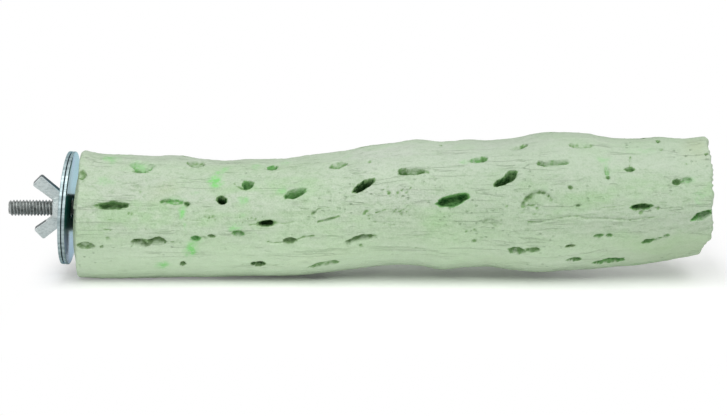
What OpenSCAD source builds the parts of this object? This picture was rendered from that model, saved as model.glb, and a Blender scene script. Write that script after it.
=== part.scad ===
// Bird perch: a length of hollow cactus wood under a mineral coating, with a clamp stud at one end.
// The perch lies along +X, +Z is up, and the origin is on the stud midway between the two washers.

/* [Branch] */
// Length of the coated branch
branch_length = 246.3; // [180:0.1:320]
// Typical diameter over the coating
branch_diameter = 49; // [44:0.5:60]
// How far the branch's centre line rises above the stud at the free end
branch_bend = 5; // [0:0.5:12]
// Thickness of the mineral coating
coat_thickness = 1.8; // [1.2:0.1:3]
// Diameter of the hollow core of the wood
core_diameter = 22; // [16:0.5:24]
// Rounding of the coating round both ends
rim_round = 1.5; // [1:0.25:4]
// Height of the swellings that wind along the wood
swell_height = 0.4; // [0:0.1:1.2]

/* [Eyes] */
// Length of the longest eye in the wood
eye_length = 16.5; // [8:0.5:20]
// Height of the tallest eye in the wood
eye_height = 7.5; // [4:0.5:9]
// Thickness of the coating on an open eye's walls
eye_lining = 0.8; // [0.4:0.1:1.2]
// Depth of an eye that the coating has filled
dish_depth = 1.1; // [0.4:0.1:1.1]

/* [End plug] */
// Diameter of the wooden plug
plug_diameter = 26; // [25:0.5:30]
// Length of the wooden plug
plug_length = 44; // [38:0.5:60]
// Chamfer at the plug's ends
plug_chamfer = 1; // [0.25:0.25:2]

/* [Stud] */
// Overall length of the hanger bolt
bolt_length = 63.5; // [56:0.5:66]
// Diameter of the machine thread
bolt_diameter = 6.35; // [5.5:0.05:6.5]
// Length of the machine thread
machine_length = 25.4; // [22:0.1:27]
// How far the stud stands out past the clamping plane
bolt_reach = 24.1; // [20:0.1:26]
// Diameter of the plain shank between the threads
shank_diameter = 5.6; // [5:0.05:5.8]
// Length of the plain shank
shank_length = 9; // [6:0.5:12]
// Diameter of the wood screw half
screw_diameter = 6; // [5:0.05:6.3]
// Length of the wood screw's tapered point
point_length = 12; // [8:0.5:16]

/* [Washers] */
// Outside diameter of each washer
washer_diameter = 44.45; // [32:0.05:50]
// Diameter of the washer's hole
washer_hole = 7.2; // [6.8:0.1:8.5]
// Thickness of each washer
washer_thickness = 1.2; // [0.8:0.1:2]
// Gap between the two washers as shown
washer_gap = 0.3; // [0.2:0.1:4]
// Gap from the inner washer to the coated end of the branch
stand_off = 2.85; // [1:0.05:8]

/* [Wing nut] */
// Height of the nut's hub
hub_height = 5.6; // [4:0.1:8]
// Diameter of the hub at the washer
hub_base = 12; // [10:0.1:14]
// Diameter of the hub at its outer face
hub_face = 8.6; // [8:0.1:9.5]
// Length of each wing from its root in the hub
wing_length = 11.4; // [8:0.1:15]
// Width of a wing where it leaves the hub
wing_root_width = 4.7; // [3:0.1:6]
// Width of a wing near its tip
wing_tip_width = 5.7; // [3:0.1:7]
// Thickness of a wing
wing_thickness = 2.1; // [1.2:0.1:3]
// Angle between a wing and the stud
wing_angle = 41; // [30:1:60]
// Turn of the nut about the stud as shown
nut_turn = 19; // [0:1:180]

/* [Hidden] */

// Clearances, small edges and one overrun for every cut
overrun = 1;
plug_clearance = 0.1;
thread_clearance = 0.05;
pilot_clearance = 0.05;
bolt_hole_clearance = 0.2;
seat_clearance = 0.05;
washer_edge = 0.2;
hub_edge = 0.5;
hub_skirt = 0.9;
wing_corner = 1.2;
tip_chamfer = 0.8;
point_radius = 0.4;

// Places along the stud
branch_start = washer_gap / 2 + washer_thickness + stand_off;
wood_start = branch_start + coat_thickness;
wood_length = branch_length - 2 * coat_thickness;
// The eyes' linings are cut back to the core and the socket from here on
lining_start = wood_start + eye_lining;
socket_depth = plug_length + plug_clearance;
nut_base = washer_gap / 2 + washer_thickness + seat_clearance;
wing_root_reach = hub_face / 2;
wing_root_share = 0.35;
wing_root_rise = hub_height * wing_root_share;

// Radius and rise of the branch at even steps from the stud end to the free end
girth_shares = [
    1.02, 1, 0.98, 0.97, 0.98, 0.96, 0.94, 0.94, 0.94,
    0.95, 0.96, 0.95, 0.97, 0.98, 1.01, 1.02, 1.02, 1.01,
    1.06, 1.12, 1.11, 1.08, 1.03, 1.01, 1, 0.95, 0.94
];
rise_shares = [
    -0.4, -0.6, -0.6, -0.65, -0.65, -0.8, -0.85, -0.8, -0.8,
    -0.75, -0.5, -0.25, 0.05, 0.25, 0.4, 0.2, 0.3, 0.3,
    0.25, 0.4, 0.5, 0.55, 0.45, 0.5, 0.7, 0.85, 1.1
];

// Eyes that stay open, seen from the front: place along the branch, angle above the front,
// share of the longest length, share of the tallest height, and tilt
open_eye_shares = [
    [0.06, 20, 0.8, 0.5, 5], [0.12, -15, 0.85, 0.6, 0], [0.155, 25, 0.75, 0.4, 0],
    [0.19, -10, 0.25, 0.4, 0], [0.23, 30, 0.25, 0.55, -10], [0.265, 46, 0.45, 0.65, 10],
    [0.285, -40, 0.35, 0.4, 0], [0.305, 5, 0.4, 0.35, 5], [0.345, 35, 0.55, 0.6, 15],
    [0.45, 30, 0.55, 0.55, 25], [0.53, 40, 0.75, 0.55, 0], [0.59, 15, 0.8, 0.65, 10],
    [0.675, 35, 0.6, 0.65, 35], [0.705, -30, 0.8, 0.5, 0], [0.865, 40, 0.25, 0.3, -10],
    [0.885, 5, 0.5, 0.4, 0], [0.95, 25, 0.45, 0.45, 0], [0.98, -10, 0.5, 0.55, 10]
];
// Eyes that the coating has filled, in the same order of values
filled_eye_shares = [
    [0.01, 50, 0.2, 0.7, 0], [0.02, -20, 0.45, 0.5, 0], [0.105, 65, 0.65, 0.9, 0],
    [0.17, -40, 0.15, 0.35, 0], [0.19, 75, 0.45, 0.85, 0], [0.215, -5, 0.2, 0.25, -10],
    [0.255, -5, 0.35, 0.35, -10], [0.31, 70, 0.25, 0.55, 0], [0.335, -10, 0.35, 0.4, 5],
    [0.39, -47, 0.75, 0.55, 5], [0.4, 5, 0.55, 0.2, 10], [0.41, 65, 0.45, 0.65, 15],
    [0.45, -20, 0.75, 0.5, 5], [0.49, -1, 1, 0.85, 0], [0.63, 55, 0.5, 0.5, 10],
    [0.65, -5, 0.5, 0.6, 0], [0.695, 70, 0.4, 0.5, 0], [0.72, 15, 0.7, 1, 15],
    [0.75, 44, 0.85, 0.4, 5], [0.775, -30, 0.2, 0.15, 0], [0.785, -47, 0.3, 0.35, 0],
    [0.79, 65, 0.6, 0.5, 0], [0.825, -20, 0.4, 0.3, 0], [0.835, 30, 0.15, 0.25, 0],
    [0.84, -55, 0.7, 0.45, 5], [0.91, -30, 0.65, 0.35, 15]
];

// Eyes on the far side follow the wood's own spiral: rows round the branch, each set on by half a step
row_count = 8;
row_first_angle = 96;
row_angle_step = 26;
row_eyes = 7;
row_open_every = 3;
row_length_share = 0.6;
row_height_share = 0.55;
row_first_share = 0.35;
row_stagger_share = 0.5;
row_end_share = 0.3;
// Each eye wanders from its row by a turn that never repeats
wander_turn = 137.5;
wander_place_share = 0.1;
wander_angle = 5;
wander_size_share = 0.3;
wander_tilt = 10;
spiral_eye_shares = [
    for (row = [0:row_count - 1], k = [0:row_eyes - 1])
    let (
        turn = wander_turn * (row + row_count * k),
        stagger = row_stagger_share * (row % 2),
        step = k + row_first_share + stagger + wander_place_share * sin(turn)
    )
    [
        step / (row_eyes + row_end_share),
        row_first_angle + row_angle_step * row + wander_angle * sin(2 * turn),
        row_length_share * (1 + wander_size_share * cos(turn)),
        row_height_share * (1 + wander_size_share * sin(3 * turn)),
        wander_tilt * cos(2 * turn)
    ]
];
function is_open(i) = i % row_open_every == 0;
open_eyes = concat(
    open_eye_shares,
    [for (i = [0:len(spiral_eye_shares) - 1]) if (is_open(i)) spiral_eye_shares[i]]
);
filled_eyes = concat(
    filled_eye_shares,
    [for (i = [0:len(spiral_eye_shares) - 1]) if (!is_open(i)) spiral_eye_shares[i]]
);

// Facets
coat_sides = 32;
coat_steps = 36;
rim_steps = 3;
wood_sides = 26;
wood_steps = 26;
core_sides = 18;
core_steps = 12;
socket_sides = 36;
eye_sides = 8;
eye_flare_share = 1.3;
round_facets = 96;
hub_steps = 6;
hub_sweep = 2.2;

// Two windings of swellings round the branch
swell_lobes = 5;
swell_twist = 380;

// Value at place t, from 0 to 1, of a smooth curve through evenly spaced shares
function smooth_value(shares, t) =
    let (
        steps = len(shares) - 1,
        i = max(0, min(floor(t * steps), steps - 1)),
        u = t * steps - i,
        a = shares[max(i - 1, 0)],
        b = shares[i],
        c = shares[i + 1],
        d = shares[min(i + 2, steps)]
    )
    b + u * ((c - a) + u * ((2 * a - 5 * b + 4 * c - d) + u * (3 * (b - c) + d - a))) / 2;

// Soft step from 0 to 1 between two places
function ease(t, from, to) =
    let (u = max(0, min(1, (t - from) / (to - from))))
    u * u * (3 - 2 * u);

function place(x) = (x - branch_start) / branch_length;
function branch_radius(t) = branch_diameter / 2 * smooth_value(girth_shares, t);
function branch_rise(t) = branch_bend * smooth_value(rise_shares, t);
function swell(t, a) =
    swell_height * (cos(swell_lobes * a + swell_twist * t) + cos(swell_lobes * a - swell_twist * t)) / 2;

// The core runs straight along the stud for the plug, then drifts to the middle of the wood
core_drift_share = 0.4;
function core_rise(t) =
    branch_rise(t) * ease(t, place(wood_start + socket_depth), core_drift_share);

// Ring of points round the branch at x, set in from the coating's outer skin
function skin_ring(x, inset, sides) =
    let (t = place(x), rise = branch_rise(t))
    [
        for (i = [0:sides - 1])
        let (a = 360 * i / sides, r = branch_radius(t) + swell(t, a) - inset)
        [x, -r * cos(a), rise + r * sin(a)]
    ];

function core_ring(x) =
    let (rise = core_rise(place(x)), r = core_diameter / 2)
    [
        for (i = [0:core_sides - 1])
        let (a = 360 * i / core_sides)
        [x, -r * cos(a), rise + r * sin(a)]
    ];

// Solid through a row of rings that all have as many points
module loft(rings) {
    sides = len(rings[0]);
    last = len(rings) - 1;
    polyhedron(
        points = [for (ring = rings) each ring],
        faces = concat(
            [[for (i = [sides - 1:-1:0]) i]],
            [
                for (k = [0:last - 1], i = [0:sides - 1])
                let (j = (i + 1) % sides)
                [k * sides + i, k * sides + j, (k + 1) * sides + j]
            ],
            [
                for (k = [0:last - 1], i = [0:sides - 1])
                let (j = (i + 1) % sides)
                [k * sides + i, (k + 1) * sides + j, (k + 1) * sides + i]
            ],
            [[for (i = [0:sides - 1]) last * sides + i]]
        )
    );
}

module outer_skin() {
    run = branch_length - 2 * rim_round;
    corner = [
        for (k = [0:rim_steps - 1])
        let (q = 90 * k / rim_steps)
        [rim_round * (1 - cos(q)), rim_round * (1 - sin(q))]
    ];
    loft(concat(
        [for (c = corner) skin_ring(branch_start + c[0], c[1], coat_sides)],
        [
            for (k = [0:coat_steps])
            skin_ring(branch_start + rim_round + run * k / coat_steps, 0, coat_sides)
        ],
        [
            for (k = [rim_steps - 1:-1:0])
            skin_ring(branch_start + branch_length - corner[k][0], corner[k][1], coat_sides)
        ]
    ));
}

module wood_skin() {
    loft([
        for (k = [0:wood_steps])
        skin_ring(wood_start + wood_length * k / wood_steps, coat_thickness, wood_sides)
    ]);
}

// Hollow core, from a start at the stud end out through the free end
module core(start) {
    run = branch_start + branch_length + overrun - start;
    loft([for (k = [0:core_steps]) core_ring(start + run * k / core_steps)]);
}

// Counterbore for the plug, with a shoulder that the plug seats on
module socket(start) {
    radius = (plug_diameter / 2 + plug_clearance) / cos(180 / socket_sides);
    depth = wood_start + socket_depth - start;
    translate([start, 0, 0])
        rotate([0, 90, 0])
            cylinder(r = radius, h = depth, $fn = socket_sides);
}

// Pointed oval cutter that stands on the branch's centre line and flares outwards
module eye_cutter(eye, border, floor_depth) {
    x = branch_start + branch_length * eye[0];
    t = place(x);
    long = eye_length * eye[2] / 2 + border;
    high = eye_height * eye[3] / 2 + border;
    base = floor_depth > 0 ? branch_radius(t) - floor_depth : 0;
    top = branch_radius(t) + overrun;
    flare = floor_depth > 0 ? 1 : eye_flare_share;
    translate([x, 0, branch_rise(t)])
        rotate([90 - eye[1], 0, 0])
            translate([0, 0, base])
                rotate([0, 0, eye[4]])
                    linear_extrude(height = top - base, scale = flare)
                        polygon([
                            for (i = [0:eye_sides - 1])
                            let (q = 360 * i / eye_sides)
                            [long * cos(q), high * sin(q)] / flare
                        ]);
}

module open_eye_cutters(border) {
    for (eye = open_eyes)
        eye_cutter(eye, border, 0);
}

module filled_eye_cutters() {
    for (eye = filled_eyes)
        eye_cutter(eye, 0, dish_depth);
}

// Wood before it is hollowed, with room in its eyes for their lining
module solid_wood() {
    difference() {
        wood_skin();
        open_eye_cutters(eye_lining);
    }
}

// Turns a solid of revolution so that its axis runs along the stud, towards the nut
module along_stud(start) {
    translate([start, 0, 0])
        rotate([0, -90, 0])
            children();
}

// Half profile of the hanger bolt from its outer tip to its point, grown by a clearance
module bolt_profile(growth) {
    machine = bolt_diameter / 2 + growth;
    shank = shank_diameter / 2 + growth;
    screw = screw_diameter / 2 + growth;
    shank_end = machine_length + shank_length;
    polygon([
        [0, 0],
        [machine - tip_chamfer, 0],
        [machine, -tip_chamfer],
        [machine, -machine_length],
        [shank, -machine_length],
        [shank, -shank_end],
        [screw, -shank_end],
        [screw, point_length - bolt_length],
        [point_radius + growth, -bolt_length],
        [0, -bolt_length]
    ]);
}

module bolt_shape(growth) {
    along_stud(-bolt_reach)
        rotate_extrude($fn = round_facets)
            bolt_profile(growth);
}

module mineral_coating() {
    color([0.7, 0.78, 0.66])
        difference() {
            outer_skin();
            solid_wood();
            core(lining_start);
            socket(lining_start);
            open_eye_cutters(0);
            filled_eye_cutters();
            translate([branch_start - overrun, 0, 0])
                rotate([0, 90, 0])
                    cylinder(
                        r = bolt_diameter / 2 + bolt_hole_clearance,
                        h = coat_thickness + 2 * overrun,
                        $fn = socket_sides
                    );
        }
}

module cholla_stem() {
    color([0.62, 0.5, 0.36])
        difference() {
            solid_wood();
            core(wood_start - overrun);
            socket(wood_start - overrun);
        }
}

module end_plug() {
    radius = plug_diameter / 2;
    color([0.8, 0.66, 0.46])
        difference() {
            along_stud(wood_start)
                rotate_extrude($fn = round_facets)
                    polygon([
                        [0, 0],
                        [radius - plug_chamfer, 0],
                        [radius, -plug_chamfer],
                        [radius, plug_chamfer - plug_length],
                        [radius - plug_chamfer, -plug_length],
                        [0, -plug_length]
                    ]);
            bolt_shape(pilot_clearance);
        }
}

module hanger_bolt() {
    color([0.6, 0.61, 0.62])
        bolt_shape(0);
}

// Flat washer whose face towards the branch is at x
module washer(x) {
    bore = washer_hole / 2;
    rim = washer_diameter / 2;
    along_stud(x)
        rotate_extrude($fn = round_facets)
            polygon([
                [bore + washer_edge, 0],
                [rim - washer_edge, 0],
                [rim, washer_edge],
                [rim, washer_thickness - washer_edge],
                [rim - washer_edge, washer_thickness],
                [bore + washer_edge, washer_thickness],
                [bore, washer_thickness - washer_edge],
                [bore, washer_edge]
            ]);
}

module inner_washer() {
    color([0.75, 0.79, 0.83])
        washer(washer_gap / 2 + washer_thickness);
}

module outer_washer() {
    color([0.75, 0.79, 0.83])
        washer(-washer_gap / 2);
}

// Wing outline with its root at the origin and its length along +Y
module wing_outline() {
    root = wing_root_width / 2;
    tip = wing_tip_width / 2;
    polygon([
        [-root, 0],
        [root, 0],
        [tip, wing_length - wing_corner],
        [tip - wing_corner, wing_length],
        [wing_corner - tip, wing_length],
        [-tip, wing_length - wing_corner]
    ]);
    for (side = [-1, 1])
        translate([side * (tip - wing_corner), wing_length - wing_corner])
            circle(r = wing_corner, $fn = socket_sides);
}

module wing() {
    translate([wing_root_reach, 0, wing_root_rise])
        rotate([0, wing_angle, 0])
            translate([0, wing_thickness / 2, 0])
                rotate([90, 0, 0])
                    linear_extrude(height = wing_thickness)
                        wing_outline();
}

// Half profile of the hub: a skirt at the washer that sweeps up to a narrower face
module hub_profile() {
    face = hub_face / 2;
    flare = hub_base / 2 - face;
    climb = hub_height - hub_edge - hub_skirt;
    polygon(concat(
        [[0, 0], [(hub_base - hub_edge) / 2, 0], [hub_base / 2, hub_edge / 2]],
        [
            for (k = [0:hub_steps])
            let (t = k / hub_steps)
            [face + flare * pow(1 - t, hub_sweep), hub_skirt + climb * t]
        ],
        [[face - hub_edge, hub_height], [0, hub_height]]
    ));
}

module wing_nut() {
    color([0.66, 0.67, 0.67])
        along_stud(-nut_base)
            rotate([0, 0, -nut_turn])
                difference() {
                    union() {
                        rotate_extrude($fn = round_facets)
                            hub_profile();
                        for (turn = [0, 180])
                            rotate([0, 0, turn])
                                wing();
                    }
                    translate([0, 0, -overrun])
                        cylinder(
                            r = bolt_diameter / 2 + thread_clearance,
                            h = hub_height + wing_length + 2 * overrun,
                            $fn = round_facets
                        );
                }
}

mineral_coating();
cholla_stem();
end_plug();
hanger_bolt();
inner_washer();
outer_washer();
wing_nut();
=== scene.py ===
import math

import bpy
import numpy as np
from mathutils import Matrix, Vector


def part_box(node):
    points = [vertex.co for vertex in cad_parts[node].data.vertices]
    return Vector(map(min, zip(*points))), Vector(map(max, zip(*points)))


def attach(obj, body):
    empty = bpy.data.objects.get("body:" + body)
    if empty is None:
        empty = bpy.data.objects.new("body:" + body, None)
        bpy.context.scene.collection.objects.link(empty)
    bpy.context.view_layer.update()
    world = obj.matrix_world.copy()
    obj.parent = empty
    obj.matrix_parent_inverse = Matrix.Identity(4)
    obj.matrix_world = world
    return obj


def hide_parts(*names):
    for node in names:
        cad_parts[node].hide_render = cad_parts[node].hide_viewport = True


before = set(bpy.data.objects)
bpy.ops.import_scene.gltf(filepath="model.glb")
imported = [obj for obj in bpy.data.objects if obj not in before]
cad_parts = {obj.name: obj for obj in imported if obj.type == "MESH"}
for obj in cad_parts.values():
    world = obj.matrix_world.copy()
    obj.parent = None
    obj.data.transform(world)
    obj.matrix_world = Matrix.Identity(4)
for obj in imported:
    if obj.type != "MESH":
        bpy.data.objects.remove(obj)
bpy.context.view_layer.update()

# Sizes in millimetres, as in the part's source where it has them
MM = 0.001
BRANCH_START = 4.2
BRANCH_LENGTH = 246.3
BRANCH_RADIUS = 24.5
BRANCH_BEND = 5.0
COAT = 1.8
WOOD_START = BRANCH_START + COAT
NEAR_RIM = 1.1
FAR_RIM = 1.6
SWELL = 0.4
SPLINTERS = 0.8
FACE_ROUGHNESS = 0.45
FACE_REACH = 1.06
CORE_RADIUS = 11.0
LINING = 2.0
LINING_END = 245.4
LINING_GAP = 0.05
CORE_DRIFT_END = 0.4
PLUG_END = 50.0
PLUG_RADIUS = 13.6
PLUG_FACE = 5.85
BORE_RADIUS = 3.4
STUD_REACH = 23.6
STUD_LENGTH = 63.0
STUD_RADIUS = 3.175
THREAD_ROOT = 2.42
THREAD_PITCH = 1.27
TIP_CHAMFER = 0.8
MACHINE_LENGTH = 24.9
SHANK_RADIUS = 2.8
SHANK_LENGTH = 9.0
SHANK_OVERLAP = 0.2
SCREW_RADIUS = 3.0
SCREW_ROOT = 2.1
SCREW_PITCH = 2.4
POINT_LENGTH = 12.0
POINT_RADIUS = 0.4
WASHER_RADIUS = 22.225
WASHER_HOLE = 3.6
WASHER_THICKNESS = 1.2
WASHER_GAP = 0.3
WASHER_BEVEL = 0.28
WASHER_RINGS = 6

# How the loose washers lie: lean and turn in degrees, shift along the stud, and dish
WASHER_LEAN = 3.6
WASHER_YAW = -2.0
WASHER_SHIFT = -0.25
WASHER_DISH = 0.3

# The sawn end leans as the washers do, and recedes at a slope behind a place along Y
WASHER_TOUCH = 4.7
WASHER_ROOM = 0.4
SAWN_SLANT = 0.062
SLANT_START = -18

# The nut: its hub's radii and heights, then its wings and its place on the stud
HUB_PROFILE = [(6, 0), (6, 0.6), (5.7, 1.15), (5.3, 2), (4.9, 3), (4.6, 3.85), (4.4, 4.3), (4.1, 4.55)]
HUB_RADIUS = 4.75
WING_SEAT = 2.05
WING_LENGTH = 11.4
WING_BURIED = 2.5
WING_WIDTH = 5.7
WING_ROOT_WIDTH = 4.7
WING_THICKNESS = 2.1
WING_CORNER = 0.9
WING_ANGLE = 41.0
EDGE_PAINT_START = 5.4
NUT_LEAN = 2.2
NUT_TURN = 19.0
NUT_BASE = 1.65
NUT_VOXEL = 0.16
NUT_CLEARANCE = 0.05

# Radius and rise of the branch at even steps from the stud end to the free end
GIRTH = [
    1.02, 0.998, 0.985, 0.973, 0.979, 0.955, 0.935, 0.941, 0.941, 0.95, 0.958, 0.952, 0.973, 0.979,
    1.008, 1.022, 1.018, 1.01, 1.059, 1.116, 1.112, 1.084, 1.032, 1.012, 0.995, 0.95, 0.94,
]
RISE = [
    -0.4, -0.59, -0.61, -0.67, -0.65, -0.78, -0.86, -0.81, -0.81, -0.74, -0.51, -0.27, 0.07, 0.27,
    0.4, 0.17, 0.31, 0.3, 0.27, 0.39, 0.52, 0.55, 0.47, 0.51, 0.71, 0.85, 1.1,
]

# Where the coated end starts, by angle above the front
START_ANGLES = [-90, -75, -50, -34, 0, 10, 25, 40, 60, 79, 90, 120, 150, 180, 210, 240, 270]
START_PLACES = [3.4, 3.5, 3.8, 4.4, 5.0, 5.1, 5.5, 5.8, 5.5, 5.5, 5.7, 6.4, 7.4, 7.6, 6.8, 5.2, 3.4]

# How far the broken free end falls short of the longest fibre, by angle above the front
SHORT_ANGLES = [-90, -79, -57, -48, -41, -25, -12, -3, 7, 17, 38, 61, 90, 120, 150, 180, 210, 240, 270]
SHORT_ENDS = [2.4, 2.5, 2.9, 1.6, 0.1, 0, 0.3, 1, 0, 0.4, 0.3, 0.8, 0.3, 0.5, 0.8, 1.2, 1.8, 2.2, 2.4]

# Eyes seen from the front: place along X, angle above the front, length, height, tilt, depth,
# darkness, greenness, and how far the depth fades downwards (or upwards, where it is negative)
SEEN_EYES = [
    (7.1, 49, 3.2, 4.8, 0, 1.6, 0.4, 0.2, 0), (19.2, 20, 12.6, 3.4, 3, 5, 0.62, 0.35, 0.1),
    (29.9, 65, 9.7, 6.2, 0, 2.4, 0.3, 0.8, -0.5), (50.4, 74, 7.2, 5.7, 0, 2.6, 0.45, 0.25, -0.5),
    (39, 24, 3.6, 2.5, 0, 1.3, 0.35, 0.5, 0), (43.2, 24, 6.1, 2.7, 0, 0.9, 0.4, 0.75, 0.3),
    (47.8, 23, 2.2, 1.9, 0, 2, 0.65, 0.35, 0), (71, 45, 4.9, 4, -8, 5, 0.75, 0.6, -0.3),
    (61, 29, 3.8, 3.6, -10, 9, 1, 0.3, 0), (50.9, -9, 3.8, 2.6, 0, 3, 0.6, 0.9, 0),
    (54.1, -8, 4, 1.5, 0, 0.8, 0.25, 0.3, 0), (57.1, -6, 2.9, 1.6, -12, 2, 0.55, 0.2, 0),
    (67.4, -4, 5, 2.5, -8, 2, 0.42, 0.6, 0), (8.7, -19, 7.2, 3.3, 0, 2.2, 0.5, 0.2, 0.3),
    (15, -19, 1.4, 1.6, 0, 1.2, 0.55, 0.2, 0), (29.5, -15, 6.3, 3.7, -16, 3.5, 0.62, 0.15, 0.8),
    (36.3, -13, 6.5, 3.8, 6, 3.5, 0.62, 0.15, 0.8), (33.1, -15, 1.4, 3.1, 0, 1.5, 0.5, 0.2, 0),
    (45.7, -40, 2.5, 2.2, 0, 1.8, 0.75, 0.2, 0), (74.8, -40, 5.4, 2.7, 0, 3.5, 0.95, 0.2, 0),
    (80.2, 70, 3.9, 3.7, 0, 3.2, 0.75, 0.8, -0.2), (89.2, 34, 8.3, 4.1, 14, 5, 0.7, 0.6, -0.7),
    (78.7, 6, 6.1, 2.5, 4, 8, 0.85, 0.3, 0), (86.9, -12, 5.2, 2.7, 6, 3, 0.55, 0.2, 0),
    (96.5, 13, 1.8, 1.6, 40, 1.5, 0.42, 0.2, 0), (101.9, 5, 8.3, 1.4, 8, 1.2, 0.45, 0.25, 0),
    (105.7, 63, 7.2, 4.5, 14, 2.6, 0.6, 0.35, -0.6), (115.6, 32, 8.6, 3.6, 24, 9, 0.95, 0.25, 0),
    (114.9, -19, 11.5, 3.4, 4, 3, 0.55, 0.2, 0.9), (109.7, -21, 2.2, 2.4, 0, 2, 0.5, 0.2, 0),
    (100.3, -46, 11.9, 3.8, 6, 1.8, 0.65, 0.3, 0.6), (134.3, 40, 11.5, 3.6, 0, 3, 0.38, 0.3, -0.5),
    (130.7, 41, 4.3, 3.2, -20, 3, 0.42, 0.3, -0.2), (125.3, -1, 15.1, 5.6, 0, 0.5, 0.08, 0.2, 0.3),
    (149.9, 15, 12.4, 4.5, 9, 7, 0.72, 0.7, 0.1), (159.7, 54, 7.9, 3.3, 12, 2, 0.3, 0.75, 0.1),
    (162.2, 57, 2.9, 2.2, 12, 2, 0.5, 0.5, 0), (171.8, 35.5, 6.4, 3.8, 46, 7, 0.7, 0.35, 0),
    (168.9, 31, 6.8, 3, 20, 7, 0.8, 0.35, 0), (188.5, 44, 13.3, 2.7, 3, 2, 0.28, 0.4, 0.1),
    (183.5, 45, 3.2, 2.2, 0, 2.4, 0.5, 0.3, 0), (175.2, 69, 6.5, 3.3, 0, 1.2, 0.3, 0.3, -0.3),
    (177.7, 70, 2.2, 2.4, 20, 1.6, 0.6, 0.3, 0), (199, 63, 9.4, 3.3, 0, 1.2, 0.25, 0.3, 0),
    (195.9, 63, 2.2, 2, 0, 1.6, 0.5, 0.2, 0), (181.9, 14, 10.8, 6.7, 15, 0.9, 0.12, 0.2, 0.4),
    (164.5, -7, 7.9, 4, 0, 0.7, 0.15, 0.2, 0.2), (174.5, -33, 6.5, 3.6, 0, 3, 0.62, 0.35, 0.2),
    (181.1, -31, 6.1, 2.6, 0, 2.4, 0.55, 0.3, 0.2), (194.5, 22, 1.8, 1.6, 0, 1.6, 0.6, 0.2, 0),
    (197.6, 7, 2.2, 1.6, 0, 1.6, 0.55, 0.3, 0), (209.4, 32, 2.2, 1.7, 0, 2.2, 0.5, 0.4, 0),
    (208.9, 38, 2, 4.3, 0, 1, 0.3, 0.7, 0), (205.8, -20, 3.2, 2, 0, 2, 0.55, 0.5, 0),
    (210, -20, 2.5, 1.9, 0, 1.8, 0.55, 0.5, 0), (195.4, -29, 3.4, 1.1, 0, 1.4, 0.75, 0.1, 0),
    (196.9, -46, 4.7, 2.5, 0, 2.2, 0.8, 0.4, 0), (211, -54, 10.8, 4.6, 4, 2.6, 0.85, 0.6, 0),
    (217.8, 41, 4, 2, -8, 3, 0.62, 0.4, 0), (235.6, 26, 3.6, 2.9, 0, 3, 0.58, 0.4, 0),
    (239.6, 27, 4.5, 2.8, 0, 1.6, 0.25, 0.7, 0), (221.9, 6, 7.9, 2.6, 0, 4.5, 0.68, 0.45, 0),
    (245.8, -9, 7.9, 3.7, 10, 5, 0.58, 0.75, 0.1), (229.8, 76, 1.8, 3.3, 0, 1.4, 0.7, 0.3, 0),
    (224.7, -29, 4.3, 2.1, 8, 2.4, 0.8, 0.5, 0), (228.9, -28, 3.2, 1.5, 14, 1.4, 0.5, 0.5, 0),
    (232.3, -26, 2.2, 2, 20, 1.6, 0.5, 0.5, 0), (247.7, 54, 1.4, 1.9, 0, 1.4, 0.7, 0.2, 0),
    (230.5, 62, 2.2, 1.6, 0, 0.9, 0.3, 0.3, 0), (29.2, 57, 7.2, 1.5, 0, 2.5, 0.5, 0.6, 0),
    (75.4, 4, 1.4, 1, 0, 1, 0.4, 0.1, 0),
]

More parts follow.
